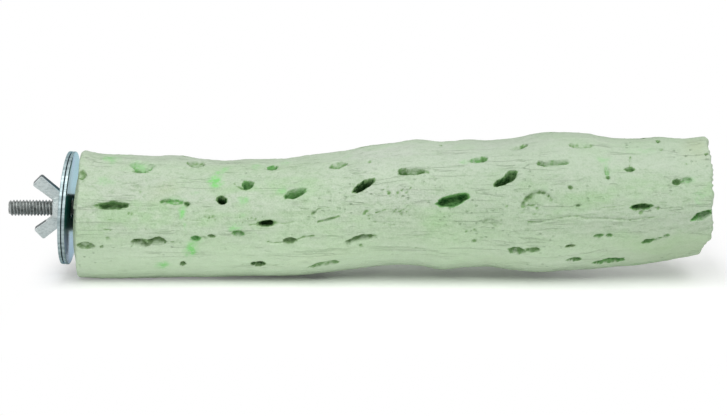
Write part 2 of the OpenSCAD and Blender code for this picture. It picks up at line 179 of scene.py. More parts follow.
# Cracks: width, depth and darkness, and for each the points of some cracks (place along X, angle
# above the front)
SEEN_CRACKS = [
    (0.45, 0.6, 0.4, [
        [(178.5, -4.4), (182.3, -4.6), (185.3, -3.7), (188, -2.4), (191.3, -2.1), (193.7, -1.5),
        (196.4, -1.1), (198.3, -1.9), (200.2, -3.8), (204.1, -3.5), (208.3, -3.4), (212.6, -4.2),
        (216.9, -5.1), (219.9, -4.7), (222.2, -4), (224.6, -4.6), (226.7, -4.2)],
    ]),
    (0.35, 0.25, 0.35, [
        [(25.2, 21.2), (28.6, 21.2)],
    ]),
    (0.3, 0.25, 0.45, [
        [(15.6, -1.5), (19.1, -1.8)],
    ]),
    (0.3, 0.25, 0.4, [
        [(46.9, 7.8), (52.1, 8.6)], [(71.6, 4.4), (75, 5.3)], [(105.4, 15.5), (105.8, 13.4)],
        [(116.5, -17.4), (121.1, -20.5)], [(219.8, 41.5), (224.4, 40.2)],
    ]),
    (0.25, 0.2, 0.3, [
        [(13.8, 8), (19.1, 7.5)], [(194.1, 48.8), (199.9, 50.4)], [(175.4, 4.4), (184.9, 0.2),
        (187.5, 1.4)], [(121.3, -5), (126.5, -7.8), (131.5, -9.6)], [(128, -6), (134.1, -7.8)],
    ]),
    (0.25, 0.2, 0.25, [
        [(23.7, 5.6), (33.7, 6.6), (42.1, 7.1)], [(129.6, -23.7), (137.3, -20.8), (144.9, -19.9),
        (154.6, -22)], [(135, -32.8), (138.9, -36.4), (145, -32.2)], [(190.8, -15.2), (196.7, -22.7),
        (202.7, -31.1), (206.7, -35.3)], [(211.8, -21), (218, -23.9)],
    ]),
    (0.35, 0.3, 0.4, [
        [(22.3, -17.7), (26.1, -16.5)], [(39.6, -13.1), (45.3, -13.9)],
    ]),
    (0.3, 0.25, 0.35, [
        [(71.6, -40.3), (68.1, -39.8)], [(77.8, -40.6), (84.7, -42.6)], [(225.6, 5.1), (230.2, 1.8)],
    ]),
    (0.5, 0.7, 0.7, [
        [(26.3, -18.8), (27.2, -14.8), (28.5, -11.9), (30.4, -11), (32.3, -11.9)], [(33.5, -12.3),
        (35.1, -9.7), (37, -8.5), (38.3, -10), (39.2, -14)],
    ]),
    (0.5, 0.8, 0.75, [
        [(65.7, 47.1), (66.8, 44), (68.4, 41.1), (70.3, 39.3)],
    ]),
    (0.35, 0.3, 0.45, [
        [(82, 6.5), (85.4, 5.4), (88.9, 6.7)],
    ]),
    (0.35, 0.4, 0.55, [
        [(78.6, -12.4), (80.7, -13.7), (84.2, -13.1)], [(89.6, -11), (92.3, -8.8), (96.5, -8.8)],
    ]),
    (0.3, 0.3, 0.5, [
        [(96.4, 13.4), (98.3, 16.3), (101.2, 16.7), (105.5, 15.4)],
    ]),
    (0.3, 0.2, 0.3, [
        [(197.6, 7), (202.9, 6.9), (207.1, 5.7), (211, 6.4), (215.2, 7.6)], [(200.7, 62.5), (203.1, 65.1),
        (205.8, 66)],
    ]),
    (0.4, 0.35, 0.55, [
        [(217.9, 44), (218.3, 54.2)],
    ]),
    (0.3, 0.25, 0.3, [
        [(181.2, -33.8), (188.2, -37.4), (194.5, -40.8)], [(185.3, -26.9), (191.5, -31.3)], [(229.2, 29.9),
        (233.8, 27.8)], [(17.3, -18.8), (20.3, -20.5)],
    ]),
    (0.35, 0.4, 0.5, [
        [(120.2, 4.7), (122, 5.6), (123.7, 6.8), (126.1, 6.6)], [(183.2, 20.1), (186.3, 17.2),
        (187.5, 12.4)],
    ]),
    (0.3, 0.3, 0.4, [
        [(118.5, -3.7), (121.3, -4.2)], [(125.1, -7.8), (127.8, -8.8)], [(128, 6.9), (130.3, 4.8),
        (132.6, 0.6)],
    ]),
    (0.4, 0.45, 0.55, [
        [(176.3, 10), (177.2, 15.3), (179.5, 19), (183.2, 20.1)],
    ]),
    (0.3, 0.35, 0.45, [
        [(176.4, 9.8), (178.4, 9), (180.7, 9.4), (181.8, 10.6)],
    ]),
    (0.25, 0.3, 0.35, [
        [(178.4, 14.8), (180.3, 16.8)],
    ]),
]

# Small pits: place along X, angle above the front, radius, depth and darkness
SEEN_PITS = [
    (17.3, -9.7, 0.69, 0.5, 0.4), (114.5, -26.6, 0.69, 0.7, 0.5), (118.1, 58.4, 0.62, 0.5, 0.5),
    (125.4, 21.7, 0.62, 0.6, 0.6), (145.9, 82.5, 0.54, 0.4, 0.45), (155.1, -14.3, 0.62, 0.5, 0.5),
    (158.1, -24, 0.62, 0.5, 0.5), (123.2, 25.3, 0.39, 0.3, 0.5), (124.9, 27.7, 0.46, 0.3, 0.3),
    (120.3, 21.8, 0.39, 0.3, 0.4), (128.6, 21.6, 0.42, 0.4, 0.5), (130.3, 23.5, 0.46, 0.4, 0.5),
    (132, 20.4, 0.42, 0.4, 0.4), (133.6, 24.3, 0.46, 0.4, 0.45), (130.5, 17.5, 0.39, 0.3, 0.4),
    (116.6, 7.5, 0.54, 0.5, 0.5), (116, 5.5, 0.46, 0.5, 0.5), (117.5, 2.7, 0.5, 0.5, 0.5),
    (117.9, -0.3, 0.42, 0.4, 0.4), (128.1, 6.1, 0.5, 0.5, 0.55), (129.3, 3.8, 0.5, 0.5, 0.5),
    (130.7, 5.4, 0.5, 0.5, 0.6), (132, 3.2, 0.5, 0.5, 0.5), (127.4, 3.9, 0.42, 0.4, 0.5),
    (129.9, 1.5, 0.46, 0.4, 0.4), (133.4, -0.6, 0.54, 0.4, 0.35), (221.6, 1.6, 0.58, 0.5, 0.5),
    (219.9, 3.3, 0.39, 0.3, 0.4), (228.3, 2.8, 0.5, 0.4, 0.45), (239.8, 45.1, 0.46, 0.3, 0.3),
    (170.6, 9.7, 0.54, 0.4, 0.4), (157.8, -23.7, 0.54, 0.4, 0.4), (158.1, -12.8, 0.58, 0.4, 0.4),
    (188.2, -17.7, 0.62, 0.5, 0.3), (176.9, 12.6, 0.77, 0.8, 0.5), (176.5, 8.9, 0.62, 0.8, 0.55),
    (177.9, 15.3, 0.69, 0.8, 0.5), (179, 16.7, 0.62, 0.7, 0.5), (180.5, 17.8, 0.58, 0.6, 0.4),
    (182.8, 20, 0.77, 0.8, 0.6), (184.3, 19.1, 0.69, 0.8, 0.6), (186.2, 16.1, 0.69, 0.8, 0.5),
    (187.1, 12.7, 0.69, 0.7, 0.4), (178.8, 10.1, 0.62, 0.6, 0.4), (180.3, 9.6, 0.58, 0.5, 0.4),
    (181.6, 6.7, 0.62, 0.6, 0.5), (162.5, -4.4, 0.54, 0.4, 0.3), (168.2, -7.1, 0.54, 0.4, 0.3),
    (168.2, -4, 0.46, 0.4, 0.3), (11.8, 12.9, 0.54, 0.4, 0.3), (29.7, 34.7, 0.54, 0.4, 0.3),
    (40.5, 25.9, 0.54, 0.5, 0.4), (25.6, 13, 0.46, 0.3, 0.4), (26.6, 12.3, 0.46, 0.3, 0.4),
    (54.7, 12, 0.5, 0.4, 0.5), (56.2, 11.5, 0.5, 0.4, 0.5), (57.6, 12.4, 0.42, 0.4, 0.4),
    (55.5, 8.6, 0.46, 0.4, 0.4), (58.7, 10.1, 0.42, 0.4, 0.35), (32.1, -1.2, 0.42, 0.3, 0.3),
    (18.3, -2.4, 0.39, 0.3, 0.3), (48, 21.2, 0.5, 0.4, 0.4), (71, 10.1, 0.42, 0.3, 0.4),
    (72.5, 11.4, 0.42, 0.3, 0.4), (74.1, 10.3, 0.42, 0.3, 0.4), (76.6, 12.2, 0.42, 0.3, 0.4),
    (69.3, 6.9, 0.42, 0.3, 0.35), (67.9, 11.6, 0.42, 0.3, 0.35),
]

# Stains where the coat is greener: place along X, angle, length, height, tilt and strength
GREEN_STAINS = [
    (17.8, 74, 7.7, 5.9, 0, 0.45), (16.3, 44, 10, 4.6, -12, 0.3), (58.3, 48, 4.6, 4.4, -30, 0.9),
    (60.2, 62, 3.5, 9.2, -35, 0.6), (69.7, 28, 4.6, 4.4, 0, 0.45), (46, 15, 2.7, 7.7, -4, 0.6),
    (47, 2, 1.9, 5.4, 8, 0.35), (49.3, -21, 4.6, 7.8, -18, 0.75), (37.9, -42, 6.2, 4.5, 28, 0.6),
    (66.5, 4, 6.9, 4.7, 10, 0.5), (51.7, 36, 9.2, 2.6, 28, 0.22), (43.2, 27, 11.6, 2.4, 0, 0.25),
    (51.2, -11, 4.6, 3.7, 0, 0.35), (53.9, 10, 5.4, 1.9, 0, 0.2), (29.9, 66, 9.6, 6, 0, 0.4),
    (74, 72, 4.6, 6.4, 0, 0.35), (68.6, 56, 4.6, 3.3, 0, 0.2), (69.3, 15, 3.1, 6.9, 0, 0.25),
    (84.9, 81, 5.4, 5.8, 0, 0.35), (83.8, 37, 5, 3.4, 0, 0.45), (91.1, 36, 5.4, 3.4, 14, 0.4),
    (76.4, 49, 6.9, 3.4, 0, 0.2), (109.5, 79, 6.2, 5.8, 20, 0.2), (153.9, 52, 5.4, 3, 10, 0.3),
    (208.9, 39, 3.1, 7.8, 0, 0.35), (208, 49, 6.2, 3.9, 0, 0.35), (244.3, 9, 4.6, 6.2, 0, 0.35),
    (240, 27, 5.4, 3.2, 0, 0.4), (245.9, -7, 6.2, 2.4, 0, 0.4), (223.6, -68, 23.1, 4.8, 5, 0.3),
    (222.3, 61, 19.2, 4.8, 4, 0.25), (185.3, 22, 6.2, 3.9, -40, 0.15), (33.4, 40, 9.2, 4.4, 0, 0.1),
    (66.9, -3, 3.9, 2, 0, 0.4),
]

# Yellower patches, in the same order of values
WARM_PATCHES = [
    (244.5, 67, 8.5, 11.1, 0, 0.9), (39.2, 36, 11.6, 5.9, 20, 0.25), (98.7, -35, 23.1, 5.6, 8, 0.35),
    (168.5, -52, 19.2, 8.6, 0, 0.3),
]

# Eyes on the far side, in rows that follow the wood's spiral
ROW_COUNT = 8
ROW_EYES = 7
ROW_FIRST_ANGLE = 96
ROW_ANGLE_STEP = 26
ROW_OPEN_EVERY = 3
EYE_LENGTH = 16.5
EYE_HEIGHT = 7.0
FAR_LENGTH_SHARE = 0.6
FAR_HEIGHT_SHARE = 0.55
EYE_SEED = 500
OPEN_DEPTH = 9.0
FILLED_DEPTH = 1.8
THINNEST_RADIUS = 14.2
THROUGH_DEPTH = 6

# An eye whose fade is smaller than this gets one that follows the light from above instead
LEAST_FADE = 0.15

# The stage in metres: the ground, the lamps' places, widths, heights and powers (a large soft one above
# and in front, and a weaker one low in front), the camera, and what the lamps and the camera point at
GROUND_SIZE = 6
GROUND_PLACE = (0.127, 1)
LAMPS = [((0.2, -0.6, 1.04), 1.9, 1.4, 15.6), ((0.12, -1.25, 0.12), 1.6, 0.5, 2.4)]
LAMP_TARGET = (0.11, 0, 0)
CAMERA_PLACE = (0.11555, -0.98163, 0.19069)
CAMERA_TARGET = (0.11555, 0, -0.00012)
CAMERA_LENS = 126.1

# Mesh of the coated branch: rows from the stud's hole round the outside and back through the core
BRANCH_ROWS = [
    ("bore", 2), ("near_face", 10), ("near_rim", 4), ("skin", 392), ("far_rim", 5),
    ("far_face", 10), ("mouth", 3), ("core", 4), ("seat", 2),
]
BRANCH_COLUMNS = 226
FRONT_ANGLE = 11.0
FRONT_CROWDING = 0.45


def curve_value(shares, place):
    """Smooth curve through even shares, at places from 0 to 1."""
    shares = np.asarray(shares, dtype=float)
    steps = len(shares) - 1
    t = np.clip(place, 0, 1) * steps
    i = np.minimum(t.astype(int), steps - 1)
    u = t - i
    a = shares[np.maximum(i - 1, 0)]
    b = shares[i]
    c = shares[i + 1]
    d = shares[np.minimum(i + 2, steps)]
    return b + u * ((c - a) + u * ((2 * a - 5 * b + 4 * c - d) + u * (3 * (b - c) + d - a))) / 2


def soft(value):
    """Soft step from 0 to 1."""
    t = np.clip(value, 0, 1)
    return t * t * (3 - 2 * t)


def place_of(x):
    return (x - BRANCH_START) / BRANCH_LENGTH


def branch_rise(x):
    return BRANCH_BEND * curve_value(RISE, place_of(x))


def core_rise(x):
    """The core runs straight along the stud for the plug, then drifts to the middle of the wood."""
    plug_place = place_of(PLUG_END)
    return branch_rise(x) * soft((place_of(x) - plug_place) / (CORE_DRIFT_END - plug_place))


def bare_radius(x, turn):
    """Radius of the branch before its eyes and cracks."""
    place = place_of(x)
    waves = np.cos(np.radians(5 * turn + 380 * place)) + np.cos(np.radians(5 * turn - 380 * place))
    return BRANCH_RADIUS * curve_value(GIRTH, place) + SWELL * waves / 2


def ripple(place, turn, cells_along, cells_round, seed):
    """Smooth random field from -1 to 1 over the branch, closed round it."""
    lattice = np.random.default_rng(seed).uniform(-1, 1, (cells_along + 2, cells_round))
    p = np.clip(place, 0, 1) * cells_along
    q = np.mod(turn / 360, 1) * cells_round
    i = p.astype(int)
    j = q.astype(int) % cells_round
    k = (j + 1) % cells_round
    u = soft(p - i)
    v = soft(q - np.floor(q))
    low = lattice[i, j] * (1 - v) + lattice[i, k] * v
    high = lattice[i + 1, j] * (1 - v) + lattice[i + 1, k] * v
    return low * (1 - u) + high * u


def angle_from(turn, centre):
    """Signed angle in degrees from a centre, the short way round."""
    return np.mod(turn - centre + 180, 360) - 180


def far_eyes():
    """Eyes of the top, far side and underside, one every half step along their rows."""
    eyes = []
    for row in range(ROW_COUNT):
        for k in range(ROW_EYES):
            number = row * ROW_EYES + k
            wander = math.radians(137.5 * (row + ROW_COUNT * k))
            place = (k + 0.35 + 0.5 * (row % 2) + 0.1 * math.sin(wander)) / (ROW_EYES + 0.3)
            angle = ROW_FIRST_ANGLE + ROW_ANGLE_STEP * row + 5 * math.sin(2 * wander)
            length = EYE_LENGTH * FAR_LENGTH_SHARE * (1 + 0.3 * math.cos(wander))
            height = EYE_HEIGHT * FAR_HEIGHT_SHARE * (1 + 0.3 * math.sin(3 * wander))
            tilt = 10 * math.cos(2 * wander)
            is_open = number % ROW_OPEN_EVERY == 0
            depth = OPEN_DEPTH if is_open else FILLED_DEPTH * (1 + 0.4 * math.sin(5 * wander))
            dark = 0.9 if is_open else 0.4 + 0.15 * math.sin(7 * wander)
            x = BRANCH_START + BRANCH_LENGTH * place
            green = 0.3 + 0.2 * math.cos(4 * wander)
            eyes.append((x, angle, length, height, tilt, depth, dark, green, 0.5 * math.sin(wander)))
    return eyes


class Surface:
    """The branch's surface at many points: how far it is sunk, and how it is coloured."""

    def __init__(self, x, turn):
        self.x = x
        self.turn = turn
        self.radius = bare_radius(x, turn)
        place = place_of(x)
        self.crumble = ripple(place, turn, 170, 100, 21) + 0.6 * ripple(place, turn, 330, 190, 22)
        self.crumbs = ripple(place, turn, 240, 150, 23) + 0.5 * ripple(place, turn, 90, 50, 24)
        self.sunk = np.zeros_like(self.radius)
        self.hollow = np.zeros_like(self.radius)
        self.green = np.zeros_like(self.radius)
        self.stain = np.zeros_like(self.radius)
        self.warm = np.zeros_like(self.radius)

    def local(self, x, angle, tilt):
        """Distances along and across a tilted mark, in millimetres on the surface."""
        along = self.x - x
        across = np.radians(angle_from(self.turn, angle)) * self.radius
        c = math.cos(math.radians(tilt))
        s = math.sin(math.radians(tilt))
        return along * c + across * s, across * c - along * s

    def darken(self, amount, green):
        """Darkens points where the amount is more than so far, and takes its greenness there."""
        deeper = amount > self.hollow
        self.green = np.where(deeper, green, self.green)
        self.hollow = np.maximum(self.hollow, amount)

    def eye(self, number, x, angle, length, height, tilt, depth, dark, green, fade):
        """An oval hollow. A darkness under about 0.85 means that the coat fills it to a dish."""
        along, across = self.local(x, angle, tilt)
        u = along / (length / 2)
        v = across / (height / 2)
        near = (np.abs(u) < 3) & (np.abs(v) < 3)
        reach = np.sqrt(np.abs(u) ** 1.75 + v * v)
        around = np.arctan2(v, u)
        # A ragged outline, and a wall and a colour edge of steady width whatever the eye's height
        a, b, c = np.random.default_rng(EYE_SEED + number).uniform(0, 2 * math.pi, 3)
        ragged = 0.5 * np.sin(2 * around + a) + 0.35 * np.sin(5 * around + b) + 0.3 * np.sin(9 * around + c)
        reach = reach * (1 + 0.1 * ragged) + 0.22 * self.crumble / (height / 2) * np.clip(reach, 0, 1)
        wall = max(0.14, 0.42 / (height / 2))
        edge = 0.4 / (height / 2)
        reach = reach + 0.5 * edge
        inside = soft((1 + wall * 0.3 - reach) / wall)
        down = soft((0.45 - v) / 1.3)
        up = soft((0.45 + v) / 1.3)
        filled = float(soft((0.85 - dark) / 0.35))
        if abs(fade) < LEAST_FADE:
            fade = 0.5 * float(np.clip((0.72 - math.sin(math.radians(angle))) / 0.3, -1, 1))
            fade = fade * (0.3 + 0.7 * filled)
        held = 1 - (fade * down if fade > 0 else -fade * up)
        floor = 1 + 0.15 * ragged * np.clip(reach, 0, 1) + 0.12 * self.crumbs
        # The coat dips round the eye, and stands up a little at its edge
        dip = 0.1 * math.sqrt(depth) * np.exp(-(reach / 1.5) ** 2)
        lip = 0.05 * min(depth, 2) * np.exp(-(((reach - 1.25) / 0.18) ** 2))
        self.sunk += np.where(near, depth * inside * held * floor * 0.9 + dip - lip, 0)
        rim = np.exp(-(((reach - 0.85) / 0.28) ** 2))
        # The eye's colour: partly the coat's darker green, partly painted shade in the recess, darkest where
        # the depth is held, under the rim that overhangs
        tint = soft((1 + wall * 0.3 + edge - reach) / (1.4 * edge)) * held * (1 - 0.4 * filled * (1 - rim))
        blotch = 1 + (0.2 + 0.35 * filled) * self.crumbs
        self.darken(np.where(near, dark * tint * blotch, 0), green)

    def crack(self, width, depth, dark, points):
        """A groove through some points, with a raised lip along its lower side."""
        nearest = np.full_like(self.radius, 99.0)
        side = np.zeros_like(self.radius)
        for (x0, a0), (x1, a1) in zip(points, points[1:]):
            along = self.x - x0
            across = np.radians(angle_from(self.turn, a0)) * self.radius
            run = x1 - x0
            climb = math.radians(a1 - a0) * BRANCH_RADIUS
            t = np.clip((along * run + across * climb) / (run * run + climb * climb), 0, 1)
            gap = np.hypot(along - t * run, across - t * climb)
            closer = gap < nearest
            side = np.where(closer, across - t * climb, side)
            nearest = np.where(closer, gap, nearest)
        nearest = np.maximum(nearest + 0.3 * width * (1 + self.crumble), 0)
        groove = np.exp(-((nearest / width) ** 2))
        lip = np.exp(-(((nearest - 2.4 * width) / (1.6 * width)) ** 2)) * (side < 0)
        self.sunk += depth * (groove - 0.35 * lip)
        # The groove's darkness is partly painted shade in the crease
        self.darken(dark * groove * (0.8 + 0.45 * self.crumbs), 0.25)

    def pit(self, x, angle, radius, depth, dark):
        """A small round hole with a crumbled edge."""
        along, across = self.local(x, angle, 0)
        spread = (along * along + across * across) / (radius * radius)
        hole = np.exp(-spread * np.clip(1 + 1.1 * self.crumble, 0.3, 3))
        self.sunk += depth * hole
        # The hole's darkness is partly painted shade
        self.darken(dark * hole, 0.25)

    def patch(self, x, angle, length, height, tilt, strength):
        """How strongly a stain colours each point."""
        along, across = self.local(x, angle, tilt)
        fringe = 1 + 0.5 * ripple(place_of(self.x), self.turn, 90, 60, 31)
        reach = (along / (length * 0.55)) ** 2 + (across / (height * 0.55)) ** 2
        return strength * np.exp(-reach * fringe)


def mark_branch(x, turn):
    """All the relief and marks of the branch at points given by place and angle."""
    s = Surface(x, turn)
    place = place_of(x)
    broad = ripple(place, turn, 11, 9, 1) + 0.5 * ripple(place, turn, 23, 17, 2)
    fibres = ripple(place, turn, 34, 110, 3) + 0.6 * ripple(place, turn, 70, 200, 4)
    lumps = ripple(place, turn, 110, 70, 5)
    s.sunk += 0.24 * broad + 0.08 * fibres + 0.11 * lumps + 0.06 * s.crumble
    for number, eye in enumerate(SEEN_EYES + far_eyes()):
        s.eye(number, *eye)
    for width, depth, dark, paths in SEEN_CRACKS:
        for points in paths:
            s.crack(width, depth, dark, points)
    for pit in SEEN_PITS:
        s.pit(*pit)
    for stain in GREEN_STAINS:
        s.stain = np.maximum(s.stain, s.patch(*stain))
    for patch in WARM_PATCHES:
        s.warm = np.maximum(s.warm, s.patch(*patch))
    s.radius = np.maximum(s.radius - s.sunk, THINNEST_RADIUS)
    return s


def edit_mode():
    bpy.ops.object.mode_set(mode="EDIT")


def object_mode():
    bpy.ops.object.mode_set(mode="OBJECT")


def clear_selection():
    if bpy.context.object and bpy.context.object.mode == "EDIT":
        object_mode()
    bpy.ops.object.select_all(action="DESELECT")


def name_new(name):
    """Names the object that an operator has just added."""
    piece = bpy.context.object
    piece.name = name
    piece.data.name = name
    return piece


def use(piece):
    clear_selection()
    piece.select_set(True)
    bpy.context.view_layer.objects.active = piece


def apply_modifier(piece, kind, **settings):
    use(piece)
    modifier = piece.modifiers.new(kind.title(), kind)
    for key, value in settings.items():
        setattr(modifier, key, value)
    bpy.ops.object.modifier_apply(modifier=modifier.name)


def apply_place(piece):
    use(piece)
    bpy.ops.object.transform_apply(location=True, rotation=True, scale=True)


def cylinder_along_x(name, radius, length, middle, sides):
    clear_selection()
    bpy.ops.mesh.primitive_cylinder_add(
        vertices=sides, radius=radius * MM, depth=length * MM, location=(middle * MM, 0, 0),
        rotation=(0, math.pi / 2, 0),
    )
    piece = name_new(name)
    apply_place(piece)
    return piece


def select_parts(piece, kind, test):
    """Selects the faces or edges that pass a test, and leaves the piece in edit mode."""
    use(piece)
    edit_mode()
    bpy.ops.mesh.select_mode(type=kind)
    bpy.ops.mesh.select_all(action="DESELECT")
    object_mode()
    for part in piece.data.polygons if kind == "FACE" else piece.data.edges:
        part.select = test(part)
    edit_mode()


def tidy_mesh(piece, doubles=1e-6):
    """Merges doubles and turns every face outwards."""
    use(piece)
    edit_mode()
    bpy.ops.mesh.select_all(action="SELECT")
    bpy.ops.mesh.remove_doubles(threshold=doubles)
    bpy.ops.mesh.normals_make_consistent(inside=False)
    bpy.ops.mesh.select_all(action="DESELECT")
    object_mode()


def smooth(piece, angle=None):
    use(piece)
    if angle is None:
        bpy.ops.object.shade_smooth()
    else:
        bpy.ops.object.shade_smooth_by_angle(angle=math.radians(angle))


def rolled_sheet(name, points, marks):
    """A flat sheet rolled up into a closed wall. points has a row for each line along the sheet
    and a column for each line round it, and the first of each is also the last."""
    rows, columns = points.shape[0] - 1, points.shape[1] - 1
    clear_selection()
    bpy.ops.mesh.primitive_grid_add(x_subdivisions=rows, y_subdivisions=columns, size=1)
    piece = name_new(name)
    mesh = piece.data
    flat = np.empty(len(mesh.vertices) * 3)
    mesh.vertices.foreach_get("co", flat)
    flat = flat.reshape(-1, 3)
    row = np.rint((flat[:, 0] + 0.5) * rows).astype(int)
    column = np.rint((flat[:, 1] + 0.5) * columns).astype(int)
    mesh.vertices.foreach_set("co", points[row, column].ravel())
    for key, values in marks.items():
        layer = mesh.attributes.new(key, "FLOAT", "POINT")
        layer.data.foreach_set("value", values[row, column].astype(np.float32))
    for face_map in list(mesh.uv_layers):
        mesh.uv_layers.remove(face_map)
    tidy_mesh(piece)
    smooth(piece)
    return piece


def ring_points(x, radius, turn, rise):
    """Points in metres of rings round the branch."""
    a = np.radians(turn)
    return np.stack([x, -radius * np.cos(a), rise + radius * np.sin(a)], axis=-1) * MM


def coated_branch():
    """The coat as one closed wall: out of the stud's hole, over the outside and back through the core."""
    u = np.arange(BRANCH_COLUMNS + 1) / BRANCH_COLUMNS
    turn = FRONT_ANGLE + 360 * u - math.degrees(FRONT_CROWDING) * np.sin(2 * math.pi * u)
    short = np.interp(np.mod(turn + 90, 360) - 90, SHORT_ANGLES, SHORT_ENDS)
    splinter = np.abs(ripple(np.full_like(turn, 0.5), turn, 2, 64, 7))
    start = np.interp(np.mod(turn + 90, 360) - 90, START_ANGLES, START_PLACES)
    end = BRANCH_START + BRANCH_LENGTH - short - SPLINTERS * splinter
    zones = []
    for zone, count in BRANCH_ROWS:
        zones += [(zone, k / count) for k in range(count)]
    zones.append(zones[0])

    # Where each row lies before the relief, in millimetres
    x = np.zeros((len(zones), len(turn)))
    for i, (zone, t) in enumerate(zones):
        q = math.radians(90 * t)
        if zone == "bore":
            x[i] = WOOD_START + (start - WOOD_START) * t
        elif zone == "near_face":
            x[i] = start
        elif zone == "near_rim":
            x[i] = start + NEAR_RIM * (1 - math.cos(q))
        elif zone == "skin":
            x[i] = start + NEAR_RIM + (end - FAR_RIM - start - NEAR_RIM) * t
        elif zone == "far_rim":
            x[i] = end - FAR_RIM * (1 - math.sin(q))
        elif zone == "far_face":
            x[i] = end
        elif zone == "mouth":
            x[i] = end + (LINING_END - end) * t
        elif zone == "core":
            x[i] = LINING_END + (WOOD_START - LINING_END) * t
        else:
            x[i] = WOOD_START
    turns = np.broadcast_to(turn, x.shape)
    marks = mark_branch(x, turns)

    radius = marks.radius.copy()
    rise = branch_rise(x)
    names = [zone for zone, t in zones]
    near = names.index("near_rim")
    far = names.index("far_face") - 1
    lining_wall = CORE_RADIUS + LINING + LINING_GAP
    for i, (zone, t) in enumerate(zones):
        q = math.radians(90 * t)
        if zone == "bore":
            radius[i] = BORE_RADIUS
            rise[i] = 0
        elif zone == "near_face":
            # The sawn face leans as the washers do, inside the coat's rim, and stops at the plug
            outer = marks.radius[near] - NEAR_RIM
            radius[i] = np.minimum(BORE_RADIUS + (outer - BORE_RADIUS) * t * FACE_REACH, outer)
            rise[i] = rise[near] * t
            height = rise[i] + radius[i] * np.sin(np.radians(turn))
            back = -radius[i] * np.cos(np.radians(turn))
            seat = WASHER_TOUCH + math.tan(math.radians(WASHER_LEAN)) * height
            seat = seat - math.tan(math.radians(WASHER_YAW)) * back
            seat = seat + SAWN_SLANT * np.maximum(back - SLANT_START, 0)
            seat = np.where(radius[i] < PLUG_RADIUS, np.minimum(seat, PLUG_FACE), seat)
            x[i] = np.where(np.hypot(height, back) < WASHER_RADIUS + WASHER_ROOM, seat, start)
        elif zone == "near_rim":
            radius[i] -= NEAR_RIM * (1 - math.sin(q))
        elif zone == "far_rim":
            radius[i] -= FAR_RIM * (1 - math.cos(q))
        elif zone == "far_face":
            outer = marks.radius[far] - FAR_RIM
            radius[i] = outer + (CORE_RADIUS - outer) * t
            down = np.full_like(turn, t)
            rough = ripple(down, turn, 9, 48, 8) + ripple(down, turn, 5, 20, 9)
            x[i] -= FACE_ROUGHNESS * np.abs(rough) * math.sin(math.pi * t) ** 0.5
        elif zone == "mouth":
            radius[i] = CORE_RADIUS
        elif zone == "core":
            radius[i] = lining_wall
            rise[i] = core_rise(x[i])
        elif zone == "seat":
            radius[i] = lining_wall + (BORE_RADIUS - lining_wall) * t
            rise[i] = 0
    points = ring_points(x, radius, turns, rise)
    on_face = np.array([name in ("near_face", "bore") for name in names])[:, None]
    on_skin = np.array([name in ("near_rim", "skin", "far_rim") for name in names])[:, None]
    # Painted shade on the sawn end round the stud and in its hole, in the gap that the washers shade
    painted_core_shade = soft((CORE_RADIUS - radius) / 2) * 0.95
    layers = {
        "hollow": np.where(on_skin, marks.hollow, painted_core_shade * on_face),
        "green": np.where(on_skin, marks.green, 0.2),
        "stain": np.where(on_skin, marks.stain, 0),
        "warm": marks.warm,
    }
    return rolled_sheet("coated_branch", points, layers)


def core_wood():
    """Bare lining of the core, with the fibres and the mouths of the eyes on its inner side."""
    columns = 120
    inner_rows = 150
    outer_step = 25
    turn = 360 * np.arange(columns + 1) / columns
    run = LINING_END - PLUG_END - 2 * LINING_GAP
    inner_x = LINING_END - LINING_GAP - run * np.arange(inner_rows + 1) / inner_rows
    x = np.concatenate([inner_x, inner_x[::-1][::outer_step], inner_x[:1]])
    x = np.broadcast_to(x[:, None], (len(x), columns + 1)).copy()
    turns = np.broadcast_to(turn, x.shape)
    place = place_of(x)
    grain = ripple(place, turns, 12, 40, 41) + 0.5 * ripple(place, turns, 30, 80, 42)
    mouths = np.zeros_like(x)
    for eye in SEEN_EYES + far_eyes():
        ex, angle, length, height, tilt, depth = eye[:6]
        if depth < THROUGH_DEPTH:
            continue
        u = (x - ex) / (length * 0.45)
        v = np.radians(angle_from(turns, angle)) * CORE_RADIUS / (height * 0.45)
        mouths = np.maximum(mouths, soft(1.4 - np.sqrt(u * u + v * v)))
    inner = np.arange(len(x))[:, None] <= inner_rows
    inner_radius = CORE_RADIUS + 0.18 * (1 + grain) + 1.2 * mouths
    radius = np.where(inner, inner_radius, CORE_RADIUS + LINING)
    radius[-1] = radius[0]
    points = ring_points(x, radius, turns, core_rise(x))
    return rolled_sheet("core_wood", points, {"mouth": np.where(inner, mouths, 0)})


def threaded_rod(name, root, crest, pitch, start, end, steps=40):
    """Rod along X with a real spiral thread: three edges of a square, swept as a screw and sawn off."""
    clear_selection()
    bpy.ops.mesh.primitive_plane_add(size=pitch * MM)
    rod = name_new(name)
    select_parts(rod, "EDGE", lambda edge: edge.index == 0)
    bpy.ops.mesh.delete(type="EDGE")
    object_mode()
    mesh = rod.data
    links = {v.index: [] for v in mesh.vertices}
    for edge in mesh.edges:
        a, b = edge.vertices
        links[a].append(b)
        links[b].append(a)
    order = [next(v for v in links if len(links[v]) == 1)]
    while len(order) < len(links):
        order.append(next(v for v in links[order[-1]] if v not in order))
    first = start - 2 * pitch
    profile = [(0, root), (0.44, crest), (0.56, crest), (1, root)]
    for index, (share, radius) in zip(order, profile):
        mesh.vertices[index].co = Vector(((first + share * pitch) * MM, 0, radius * MM))
    turns = math.ceil((end - start) / pitch) + 4
    apply_modifier(
        rod, "SCREW", axis="X", screw_offset=pitch * MM, iterations=turns, steps=steps, render_steps=steps,
        use_merge_vertices=False, use_smooth_shade=True,
    )
    tidy_mesh(rod)
    use(rod)
    edit_mode()
    for plane, direction in ((start, -1), (end, 1)):
        bpy.ops.mesh.select_all(action="SELECT")
        bpy.ops.mesh.bisect(
            plane_co=(plane * MM, 0, 0), plane_no=(direction, 0, 0), use_fill=True, clear_outer=True,
            threshold=1e-6,
        )
    object_mode()
    return rod


